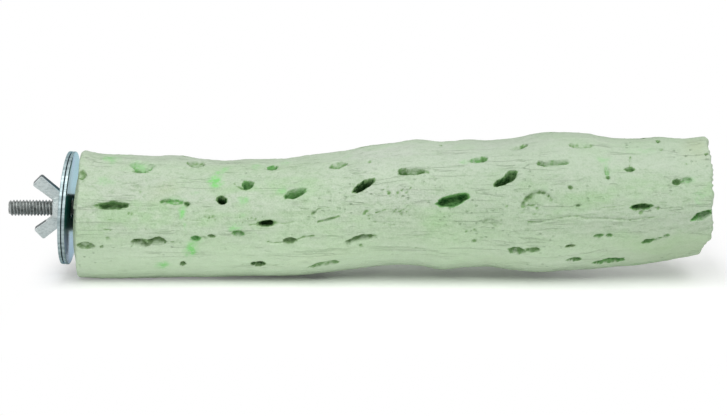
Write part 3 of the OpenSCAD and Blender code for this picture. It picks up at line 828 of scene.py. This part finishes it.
def limit_radius(piece, limit):
    """Turns a rod down to no more than the radius that limit gives at each place along X."""
    for vertex in piece.data.vertices:
        x, y, z = vertex.co
        radius = math.hypot(y, z)
        most = limit(x / MM) * MM
        if radius > most:
            vertex.co = Vector((x, y * most / radius, z * most / radius))


def threaded_stud():
    tip = -STUD_REACH
    shoulder = tip + MACHINE_LENGTH
    shank_end = shoulder + SHANK_LENGTH
    point = tip + STUD_LENGTH
    stud = threaded_rod("threaded_stud", THREAD_ROOT, STUD_RADIUS, THREAD_PITCH, tip, shoulder)
    limit_radius(stud, lambda x: STUD_RADIUS - max(0, TIP_CHAMFER - (x - tip)))
    screw = threaded_rod("wood_screw_half", SCREW_ROOT, SCREW_RADIUS, SCREW_PITCH, shank_end, point, steps=24)
    taper = point - POINT_LENGTH

    def pointed(x):
        if x < taper:
            return SCREW_RADIUS
        return POINT_RADIUS + (SCREW_RADIUS - POINT_RADIUS) * (point - x) / POINT_LENGTH

    limit_radius(screw, pointed)
    middle = (shoulder + shank_end) / 2
    shank = cylinder_along_x("shank", SHANK_RADIUS, SHANK_LENGTH + SHANK_OVERLAP, middle, 48)
    apply_modifier(shank, "BEVEL", width=0.3 * MM, segments=2, limit_method="ANGLE")
    use(stud)
    shank.select_set(True)
    screw.select_set(True)
    bpy.ops.object.join()
    smooth(stud, 28)
    return stud


def wide_washer(name, middle, faces_wood):
    """Washer: a disc whose two faces are inset to the hole and bridged through it, then dished and leaned.
    The face next to the wood is marked to carry a painted reflection and painted shade."""
    piece = cylinder_along_x(name, WASHER_RADIUS, WASHER_THICKNESS, middle, 144)
    select_parts(piece, "FACE", lambda face: abs(face.normal.x) > 0.9)
    width = (WASHER_RADIUS - WASHER_HOLE) / WASHER_RINGS
    for ring in range(WASHER_RINGS):
        bpy.ops.mesh.inset(thickness=width * MM, use_individual=True)
    bpy.ops.mesh.bridge_edge_loops()
    object_mode()
    apply_modifier(
        piece, "BEVEL", width=WASHER_BEVEL * MM, segments=4, limit_method="ANGLE",
        angle_limit=math.radians(40),
    )
    for vertex in piece.data.vertices:
        x, y, z = vertex.co
        vertex.co.x = x + WASHER_DISH * MM * (y * y + z * z) / (WASHER_RADIUS * MM) ** 2
    piece.rotation_euler = (0, math.radians(WASHER_LEAN), math.radians(WASHER_YAW))
    piece.location = (WASHER_SHIFT * MM, 0, 0)
    apply_place(piece)
    tidy_mesh(piece, 1e-7)
    smooth(piece, 35)
    # The face next to the wood is marked to carry a painted reflection and painted shade
    painted_reflection_face = piece.data.attributes.new("painted_reflection_face", "FLOAT", "POINT")
    facing_wood = [float(faces_wood and vertex.normal.x > 0.7) for vertex in piece.data.vertices]
    painted_reflection_face.data.foreach_set("value", facing_wood)
    return piece


def turned_hub(name, profile, sides=72):
    """A turned form along Z: a disc extruded and scaled ring by ring."""
    clear_selection()
    first_radius, first_height = profile[0]
    bpy.ops.mesh.primitive_circle_add(
        vertices=sides, radius=first_radius * MM, fill_type="NGON", location=(0, 0, first_height * MM),
    )
    piece = name_new(name)
    apply_place(piece)
    use(piece)
    edit_mode()
    bpy.ops.mesh.select_mode(type="FACE")
    bpy.ops.mesh.select_all(action="SELECT")
    for (radius, height), (last_radius, last_height) in zip(profile[1:], profile):
        rise = (height - last_height) * MM
        bpy.ops.mesh.extrude_region_move(TRANSFORM_OT_translate={"value": (0, 0, rise)})
        scale = radius / last_radius
        bpy.ops.transform.resize(value=(scale, scale, 1), center_override=(0, 0, height * MM))
    object_mode()
    tidy_mesh(piece, 1e-7)
    return piece


def nut_wing(turn):
    """One flat wing: a block drawn narrower at its root, its tip corners bevelled, then leaned out."""
    clear_selection()
    length = WING_LENGTH + WING_BURIED
    bpy.ops.mesh.primitive_cube_add(size=1)
    wing = name_new("wing")
    wing.scale = (WING_WIDTH * MM, WING_THICKNESS * MM, length * MM)
    wing.location = (0, 0, (length / 2 - WING_BURIED) * MM)
    apply_place(wing)
    for vertex in wing.data.vertices:
        if vertex.co.z < 0:
            vertex.co.x *= WING_ROOT_WIDTH / WING_WIDTH

    def across_tip(edge):
        a, b = (wing.data.vertices[i].co for i in edge.vertices)
        return a.z > 0 and b.z > 0 and abs(a.y - b.y) > 0.5 * MM

    select_parts(wing, "EDGE", across_tip)
    bpy.ops.mesh.bevel(offset=WING_CORNER * MM, segments=4)
    object_mode()
    lean = Matrix.Rotation(math.radians(WING_ANGLE), 4, "Y")
    seat = Matrix.Translation(Vector((HUB_RADIUS, 0, WING_SEAT)) * MM)
    wing.matrix_world = Matrix.Rotation(math.radians(turn), 4, "Z") @ seat @ lean
    apply_place(wing)
    return wing


def mark_wing_edges(nut):
    """Stores how much each point lies on the narrow edge or the tip of a wing, for a painted highlight line
    and a darker edge.
    """
    lean = math.radians(WING_ANGLE)
    mesh = nut.data
    wing_edge_paint = []
    for vertex in mesh.vertices:
        side = 1 if vertex.co.x > 0 else -1
        across = Vector((side * math.cos(lean), 0, -math.sin(lean)))
        outward = Vector((side * math.sin(lean), 0, math.cos(lean)))
        facing = max(abs(vertex.normal.dot(across)), vertex.normal.dot(outward))
        out = abs(vertex.co.x) / MM
        wing_edge_paint.append(float(facing * soft(out - EDGE_PAINT_START)))
    layer = mesh.attributes.new("wing_edge_paint", "FLOAT", "POINT")
    layer.data.foreach_set("value", wing_edge_paint)


def wing_nut():
    """Cast nut: hub and wings are joined, remeshed so that they flow together, bored and turned."""
    nut = turned_hub("cast_wing_nut", HUB_PROFILE)
    for turn in (0, 180):
        wing = nut_wing(turn)
        apply_modifier(nut, "BOOLEAN", operation="UNION", object=wing, solver="EXACT")
        bpy.data.objects.remove(wing)
    apply_modifier(nut, "REMESH", mode="VOXEL", voxel_size=NUT_VOXEL * MM)
    apply_modifier(nut, "SMOOTH", factor=0.5, iterations=3)
    clear_selection()
    drill_radius = (STUD_RADIUS + NUT_CLEARANCE) * MM
    bpy.ops.mesh.primitive_cylinder_add(vertices=64, radius=drill_radius, depth=40 * MM)
    drill = name_new("drill")
    apply_modifier(nut, "BOOLEAN", operation="DIFFERENCE", object=drill, solver="EXACT")
    bpy.data.objects.remove(drill)
    mark_wing_edges(nut)
    # The hub's axis points away from the branch, and the nut is turned as in the photograph
    along = Matrix(((0, 0, -1, -NUT_BASE * MM), (0, 1, 0, 0), (1, 0, 0, 0), (0, 0, 0, 1)))
    leaned = Matrix.Rotation(math.radians(NUT_LEAN), 4, "Y")
    nut.matrix_world = leaned @ along @ Matrix.Rotation(math.radians(-NUT_TURN), 4, "Z")
    apply_place(nut)
    tidy_mesh(nut, 1e-7)
    smooth(nut, 40)
    return nut


def paint(red, green, blue):
    """Colour of a paint chip given in bytes, as the shaders take it."""
    def linear(byte):
        c = byte / 255
        return c / 12.92 if c <= 0.04045 else ((c + 0.055) / 1.055) ** 2.4
    return (linear(red), linear(green), linear(blue), 1.0)


class Level:
    """A value in a material, so that its sums read as plain sums."""

    def __init__(self, finish, socket):
        self.finish = finish
        self.socket = socket

    def math(self, operation, *others):
        return self.finish.level("ShaderNodeMath", {"operation": operation}, self, *others)

    def __add__(self, other):
        return self.math("ADD", other)

    def __sub__(self, other):
        return self.math("SUBTRACT", other)

    def __mul__(self, other):
        return self.math("MULTIPLY", other)

    def __pow__(self, other):
        return self.math("POWER", other)

    def __rsub__(self, other):
        return self * -1 + other

    __radd__ = __add__
    __rmul__ = __mul__

    def size(self):
        """The value without its sign."""
        return self.math("ABSOLUTE")

    def most(self, other):
        return self.math("MAXIMUM", other)

    def step(self, low, high):
        """Soft step from 0 at low to 1 at high."""
        settings = {"interpolation_type": "SMOOTHSTEP"}
        return self.finish.level("ShaderNodeMapRange", settings, self, low, high, 0.0, 1.0)


class Finish:
    """The nodes of one material, or of the world."""

    def __init__(self, name, group=None, shader="Principled BSDF"):
        if group is None:
            group = bpy.data.materials
        self.owner = group.new(name)
        self.owner.use_nodes = True
        self.tree = self.owner.node_tree
        self.shader = self.tree.nodes[shader]

    def node(self, kind, settings, inputs):
        """A node with its settings, then the values or links of its sockets, by number or name."""
        made = self.tree.nodes.new(kind)
        for key, value in settings.items():
            setattr(made, key, value)
        for key, value in inputs.items():
            self.put(made.inputs[key], value)
        return made

    def put(self, socket, value):
        if isinstance(value, Level):
            value = value.socket
        if isinstance(value, bpy.types.NodeSocket):
            self.tree.links.new(value, socket)
        else:
            socket.default_value = value

    def level(self, kind, settings, *values):
        return Level(self, self.node(kind, settings, dict(enumerate(values))).outputs[0])

    def mark(self, name):
        """A mark stored on the mesh's points."""
        made = self.node("ShaderNodeAttribute", {"attribute_name": name}, {})
        return Level(self, made.outputs["Fac"])

    def rays(self, first, *others):
        """1 for rays of the kinds that are named, and 0 for the rest."""
        path = self.node("ShaderNodeLightPath", {}, {})
        named = Level(self, path.outputs[first])
        for kind in others:
            named = named.most(Level(self, path.outputs[kind]))
        return named

    def place(self, stretch=(1, 1, 1), centre=(0, 0, 0)):
        """Object coordinates, stretched and moved."""
        source = self.node("ShaderNodeTexCoord", {}, {}).outputs["Object"]
        inputs = {"Vector": source, "Scale": stretch, "Location": centre}
        return self.node("ShaderNodeMapping", {}, inputs).outputs["Vector"]

    def axes(self, where=None):
        """The three coordinates of a place."""
        made = self.node("ShaderNodeSeparateXYZ", {}, {"Vector": where or self.place()})
        return [Level(self, socket) for socket in made.outputs]

    def noise(self, scale, detail, rough, *place):
        """Noise over object coordinates, which may be stretched and moved."""
        inputs = {"Vector": self.place(*place), "Scale": scale, "Detail": detail, "Roughness": rough}
        return Level(self, self.node("ShaderNodeTexNoise", {}, inputs).outputs["Fac"])

    def cells(self, scale, stretch):
        """Distance to the nearest of scattered points, and a random value for each."""
        made = self.node("ShaderNodeTexVoronoi", {}, {"Vector": self.place(stretch), "Scale": scale})
        picked = self.node("ShaderNodeSeparateColor", {}, {"Color": made.outputs["Color"]})
        return Level(self, made.outputs["Distance"]), Level(self, picked.outputs[0])

    def blend(self, amount, first, second):
        """Mixes two colours."""
        settings = {"data_type": "RGBA", "blend_type": "MIX", "clamp_factor": True}
        made = self.node("ShaderNodeMix", settings, {0: amount, 6: first, 7: second})
        return made.outputs[2]

    def layers(self, colour, *others):
        """A colour with others laid over it in turn, each with its amount."""
        for amount, over in others:
            colour = self.blend(amount, colour, over)
        return colour

    def bump(self, height, distance, strength):
        inputs = {"Height": height, "Distance": distance * MM, "Strength": strength}
        return self.node("ShaderNodeBump", {}, inputs).outputs["Normal"]

    def set(self, **inputs):
        for key, value in inputs.items():
            self.put(self.shader.inputs[key.replace("_", " ")], value)
        return self.owner


def chalky_coat():
    """Pale green mineral coat with darker hollows, pits, fibre lines and brighter green stains."""
    f = Finish("chalky_coat")
    green = f.mark("green")
    patches = f.noise(38, 2, 0.5, (0.16, 1, 1))
    clouds = f.noise(110, 3, 0.6, (0.5, 1, 1), (0.3, 0, 0))
    streaks = f.noise(210, 3, 0.55, (0.12, 1, 1), (0.6, 0, 0))
    mottle = f.noise(620, 3, 0.7, (0.6, 1, 1), (0, 0.4, 0))
    grain = f.noise(1500, 2, 0.7)
    fibre = f.noise(520, 4, 0.6, (0.07, 1, 1))
    greyer = f.noise(52, 3, 0.6, (0.4, 1, 1), (0.9, 0.2, 0)).step(0.5, 0.62)
    greener = f.noise(64, 3, 0.6, (0.5, 1, 1), (0.2, 0.7, 0)).step(0.56, 0.7)
    dashed = f.noise(75, 2, 0.5, (0.5, 1, 1), (0, 0, 0.7)).step(0.42, 0.6)
    dashes = f.noise(820, 2, 0.5, (0.2, 1, 1), (0.2, 0, 0.1)).step(0.62, 0.72) * dashed

    # Painted light and shade: paler underneath as painted fill light, paler on top as a painted highlight,
    # and darker under the tip of the free end as painted shade. Also a little darker towards the free end,
    # more on its upper half
    length, _, height = f.axes()
    tip = length.step(0.195, 0.24) * height.step(-0.002, -0.014)
    far = length.step(0.12, 0.17) * (0.06 + 0.16 * height.step(-0.01, 0.004))

    # Hair cracks along the branch, where a stretched noise crosses its middle
    thread = f.noise(230, 3, 0.55, (0.05, 1, 1), (0, 0, 0.3)) - 0.5
    broken = f.noise(120, 2, 0.5, (0.35, 1, 1), (0.4, 0, 0)).step(0.47, 0.6)
    hair = thread.size().step(0.016, 0.002) * broken

    # Specks: some cells hold a small dark pit, in clusters
    near, pick = f.cells(620, (0.8, 1, 1))
    cluster = f.noise(60, 2, 0.5, (0.6, 1, 1), (0.1, 0.2, 0)).step(0.5, 0.66)
    speck = near.step(0.36, 0.12) * pick.step(0.62, 0.66) * cluster

    # Marks of the mesh, broken up: green stains, and the darkness in the hollows of eyes, cracks and pits,
    # which is partly the coat's darker green there and partly painted shade in the recesses
    flecks = f.noise(460, 4, 0.7, (0.7, 1, 1), (0, 0.2, 0)).step(0.36, 0.62)
    stain = f.mark("stain") * (0.45 + 0.8 * flecks)
    coarse = f.noise(520, 3, 0.65, (0.7, 1, 1), (0.5, 0, 0)).step(0.3, 0.7)
    fine = f.noise(1300, 2, 0.7, (0.6, 1, 1)).step(0.3, 0.7)
    hollow = f.mark("hollow") * (0.52 + 0.54 * coarse + 0.34 * fine)

    body = f.layers(
        f.blend(patches.step(0.36, 0.62), paint(179, 206, 168), paint(187, 205, 180)),
        (clouds.step(0.5, 0.7) * 0.25, paint(198, 207, 191)),
        (clouds.step(0.48, 0.3) * 0.35, paint(168, 198, 155)),
        (streaks.step(0.52, 0.72) * 0.25, paint(202, 216, 194)),
        (streaks.step(0.46, 0.28) * 0.3, paint(160, 188, 146)),
        (greyer * 0.3, paint(192, 199, 188)),
        (greener * 0.45, paint(160, 204, 144)),
        (f.mark("warm") * 0.8, paint(178, 196, 140)),
        (mottle.step(0.5, 0.34) * 0.4, paint(148, 178, 136)),
        (mottle.step(0.54, 0.72) * 0.3, paint(208, 220, 200)),
        (grain.step(0.5, 0.35) * 0.24, paint(140, 168, 128)),
        (grain.step(0.52, 0.66) * 0.2, paint(214, 224, 208)),
        (fibre.step(0.56, 0.74) * 0.16, paint(142, 168, 128)),
        (dashes * 0.28, paint(126, 154, 112)),
        # Painted fill light on the underside, a painted highlight on top, and painted shade under the tip of
        # the free end
        (height.step(0.002, -0.022) * 0.6, paint(224, 242, 216)),
        (height.step(0.012, 0.026) * 0.35, paint(216, 222, 214)),
        (tip * 0.3, paint(142, 168, 118)),
        (far, paint(150, 172, 144)),
        (hair * 0.22, paint(134, 162, 120)),
        (speck * 0.4, paint(104, 138, 94)),
        (stain.step(0.04, 0.9) * 0.85, paint(124, 214, 112)),
        # Hollows: the coat's darker green, with painted shade in the recesses
        (hollow.step(0.04, 0.4), f.blend(green, paint(132, 156, 114), paint(112, 178, 100))),
        (hollow.step(0.38, 0.92), f.blend(green, paint(54, 82, 44), paint(42, 112, 50))),
    )
    relief = 0.45 * f.noise(260, 4, 0.6, (0.16, 1, 1)) + 0.45 * fibre + 0.45 * mottle + 0.35 * grain
    relief = relief - 0.5 * speck - 0.35 * dashes - 0.35 * hair + 0.3 * streaks
    normal = f.bump(relief, 0.8, 0.8)
    return f.set(Base_Color=body, Roughness=0.82 + 0.1 * grain, Normal=normal, Specular_IOR_Level=0.25)


def bare_cactus_wood():
    """Brown wood with fibres along it, and the mouths where the eyes come through painted dark as shade."""
    f = Finish("bare_cactus_wood")
    grain = f.noise(700, 4, 0.6, (0.06, 1, 1))
    rings = f.noise(90, 2, 0.5, (0.2, 1, 1))
    wood = f.layers(
        f.blend(grain.step(0.35, 0.7), paint(176, 148, 108), paint(128, 98, 64)),
        (rings.step(0.45, 0.7) * 0.5, paint(150, 128, 92)),
        # Painted shade in the mouths of the eyes
        (f.mark("mouth").step(0.15, 0.8), paint(44, 34, 24)),
    )
    return f.set(Base_Color=wood, Roughness=0.75, Normal=f.bump(grain, 0.4, 0.8))


def turned_plug_wood():
    """Dowel wood: rings seen on its ends, straight grain along X."""
    f = Finish("turned_plug_wood")
    spot = (0.05, 1, 1), (0, 0.011, 0.006)
    _, y, z = f.axes(f.place(*spot))
    waves = (y * y + z * z) ** 0.5 * 2600 + f.noise(60, 2, 0.5, *spot) * 4
    fibre = f.noise(900, 3, 0.6, (0.04, 1, 1))
    wood = f.layers(
        f.blend(waves.math("SINE").step(-0.6, 0.9), paint(216, 188, 144), paint(188, 150, 104)),
        (fibre.step(0.5, 0.75) * 0.4, paint(150, 116, 78)),
    )
    return f.set(Base_Color=wood, Roughness=0.62, Normal=f.bump(fibre, 0.15, 0.6))


def rolled_thread_steel():
    """Grey steel, unevenly tarnished."""
    f = Finish("rolled_thread_steel")
    tarnish = f.noise(900, 3, 0.6)
    steel = f.blend(tarnish.step(0.4, 0.7), paint(166, 170, 168), paint(126, 130, 128))
    normal = f.bump(tarnish, 0.03, 0.5)
    return f.set(Base_Color=steel, Metallic=1.0, Roughness=0.34 + 0.2 * tarnish, Normal=normal)


def bright_zinc_plate():
    """Blue-white plating with faint brush marks round the stud and a sheared rim. On the face next to the
    wood, colours by height are a painted reflection and painted shade, standing for what that face mirrors of
    the shaded wood end and stud."""
    f = Finish("bright_zinc_plate")
    painted_reflection_face = f.mark("painted_reflection_face")
    clouds = f.noise(140, 3, 0.6)
    tints = f.noise(60, 2, 0.5, (1, 1, 1), (0, 0, 0.02))
    sheared = f.noise(500, 3, 0.6, (0.1, 1, 1))
    _, y, z = f.axes()
    distance = (y * y + z * z) ** 0.5
    inputs = {"W": distance, "Scale": 2600.0, "Detail": 2.0}
    brushed = Level(f, f.node("ShaderNodeTexNoise", {"noise_dimensions": "1D"}, inputs).outputs["Fac"])

    # Painted reflection on the face next to the wood, by height along lines that look level from the front:
    # teal at the front, violet below, a half-dark zone and a dark stripe of painted shade round the stud, and
    # a smear of painted shade below it
    level = z + 0.19 * y
    zone = level.step(0.009, 0.004) * level.step(-0.014, -0.007)
    painted_dark_stripe = level.step(0.006, 0.0042) * level.step(-0.0105, -0.0066)
    painted_smear_shade = y.step(-0.003, -0.012) * level.step(-0.003, -0.008) * level.step(-0.021, -0.016)
    painted_shade_matt = painted_dark_stripe.most(0.5 * painted_smear_shade) * painted_reflection_face
    painted_front_shade = y.step(-0.001, -0.010) * level.step(-0.004, -0.011) * painted_reflection_face
    rim = distance.step((WASHER_RADIUS - 0.45) * MM, (WASHER_RADIUS - 0.2) * MM)
    plate = f.layers(
        f.blend(clouds.step(0.4, 0.7), paint(176, 210, 219), paint(168, 196, 206)),
        (tints.step(0.45, 0.65), paint(190, 200, 232)),
        # The next four layers are painted reflection and painted shade on the face next to the wood
        (y.step(-0.002, -0.012) * painted_reflection_face * 0.6, paint(112, 150, 156)),
        (level.step(-0.008, -0.013) * painted_reflection_face * 0.5, paint(176, 178, 232)),
        (zone * painted_reflection_face * 0.5, paint(70, 110, 112)),
        (painted_dark_stripe * painted_reflection_face * 0.97, paint(24, 92, 84)),
        (rim, f.blend(sheared.step(0.4, 0.62), paint(134, 150, 152), paint(170, 186, 188))),
    )
    # Metal and gloss are lowered in the painted dark stripe, the smear and the lower front, as painted shade
    return f.set(
        Base_Color=plate, Metallic=1 - 0.93 * painted_shade_matt - 0.45 * painted_front_shade, Normal=f.bump(brushed, 0.008, 0.3),
        Roughness=0.08 + 0.06 * clouds + 0.03 * brushed + 0.26 * rim + 0.7 * painted_shade_matt,
        Specular_Tint=(0.56, 0.72, 0.76, 1), Specular_IOR_Level=0.05,
    )


def cast_zinc():
    """Matt casting with a fine grain, darker on the narrow edges and tips of its wings, with a painted
    highlight line beside them.
    """
    f = Finish("cast_zinc")
    grain = f.noise(1500, 3, 0.7, (0.5, 1, 1))
    clouds = f.noise(300, 3, 0.6)
    wing_edge_paint = f.mark("wing_edge_paint")
    metal = f.layers(
        f.blend(clouds.step(0.35, 0.7), paint(202, 211, 210), paint(186, 197, 196)),
        (grain.step(0.55, 0.4) * 0.4, paint(140, 151, 150)),
        # A painted highlight line beside the wing edges, then the edges themselves darker
        (wing_edge_paint.step(0.2, 0.4) * 0.8, paint(236, 242, 242)),
        (wing_edge_paint.step(0.62, 0.8), paint(84, 94, 95)),
    )
    normal = f.bump(grain, 0.06, 0.7)
    return f.set(Base_Color=metal, Metallic=0.85, Roughness=0.3 + 0.14 * grain, Normal=normal)


def white_paper():
    """White ground that keeps the object's shadow. Seen by the camera or in metal, it fades to pure
    white behind, before and beyond the ends of the object."""
    f = Finish("white_paper")
    seen = f.rays("Is Camera Ray", "Is Glossy Ray", "Is Transmission Ray")
    colour = f.blend(seen, (0.9, 0.9, 0.9, 1), (1.14, 1.14, 1.14, 1))
    lit = f.node("ShaderNodeBsdfDiffuse", {}, {"Color": colour})
    plain = f.node("ShaderNodeEmission", {}, {"Color": (1, 1, 1, 1), "Strength": 1.0})
    along, across, _ = f.axes()
    along = along.size()
    across = (across + GROUND_PLACE[1]).size()
    # Seen by the camera, a glow lifts the shadow near the object, a little under its middle and more towards
    # its ends: painted light in the shadow
    fade = (0.04 + 0.22 * along.step(0.04, 0.1)).most(across.step(0.04, 0.13)).most(along.step(0.121, 0.145))
    mixed = f.node("ShaderNodeMixShader", {}, {0: fade * seen, 1: lit.outputs[0], 2: plain.outputs[0]})
    f.put(f.tree.nodes["Material Output"].inputs["Surface"], mixed.outputs[0])
    f.tree.nodes.remove(f.shader)
    return f.owner


def wear(piece, material):
    piece.data.materials.clear()
    piece.data.materials.append(material)


def aim(thing, target):
    thing.rotation_euler = (Vector(target) - thing.location).to_track_quat("-Z", "Y").to_euler()


def studio_white():
    """White behind the object and in its metal, and a weaker white light from all round."""
    f = Finish("studio_white", bpy.data.worlds, "Background")
    white = f.rays("Is Camera Ray", "Is Glossy Ray")
    strength = f.level("ShaderNodeMapRange", {}, white, 0.0, 1.0, 0.3, 1.0)
    return f.set(Color=(1, 1, 1, 1), Strength=strength)


def set_stage():
    """Ground, light and camera, as in the photograph."""
    clear_selection()
    bpy.ops.mesh.primitive_plane_add(size=GROUND_SIZE)
    ground = name_new("ground")
    ground.location = (*GROUND_PLACE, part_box("mineral_coating")[0][2])
    wear(ground, white_paper())

    bpy.context.scene.world = studio_white()
    for place, width, height, power in LAMPS:
        bpy.ops.object.light_add(type="AREA", location=place)
        lamp = bpy.context.object
        lamp.data.shape = "RECTANGLE"
        lamp.data.size = width
        lamp.data.size_y = height
        lamp.data.energy = power
        aim(lamp, LAMP_TARGET)

    bpy.ops.object.camera_add(location=CAMERA_PLACE)
    camera = bpy.context.object
    camera.data.sensor_width = 36
    camera.data.lens = CAMERA_LENS
    aim(camera, CAMERA_TARGET)
    bpy.context.scene.camera = camera
    bpy.context.scene.view_settings.view_transform = "Standard"


coat_piece = coated_branch()
lining_piece = core_wood()
stud_piece = threaded_stud()
inner_piece = wide_washer("inner_wide_washer", (WASHER_GAP + WASHER_THICKNESS) / 2, True)
outer_piece = wide_washer("outer_wide_washer", -(WASHER_GAP + WASHER_THICKNESS) / 2, False)
nut_piece = wing_nut()

zinc = bright_zinc_plate()
DRESSED = [
    (coat_piece, "perch", "mineral_coating", "mineral_coat", chalky_coat()),
    (lining_piece, "perch", "cholla_stem", "cactus_wood", bare_cactus_wood()),
    (stud_piece, "perch", "hanger_bolt", "stud_steel", rolled_thread_steel()),
    (inner_piece, "inner_washer", "inner_washer", "zinc_washer", zinc),
    (outer_piece, "outer_washer", "outer_washer", "zinc_washer", zinc),
    (nut_piece, "wing_nut", "wing_nut", "cast_nut", cast_zinc()),
]
for piece, body, node, slot, material in DRESSED:
    wear(piece, material)
    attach(piece, body)
    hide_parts(node)
wear(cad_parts["end_plug"], turned_plug_wood())

clear_selection()
set_stage()
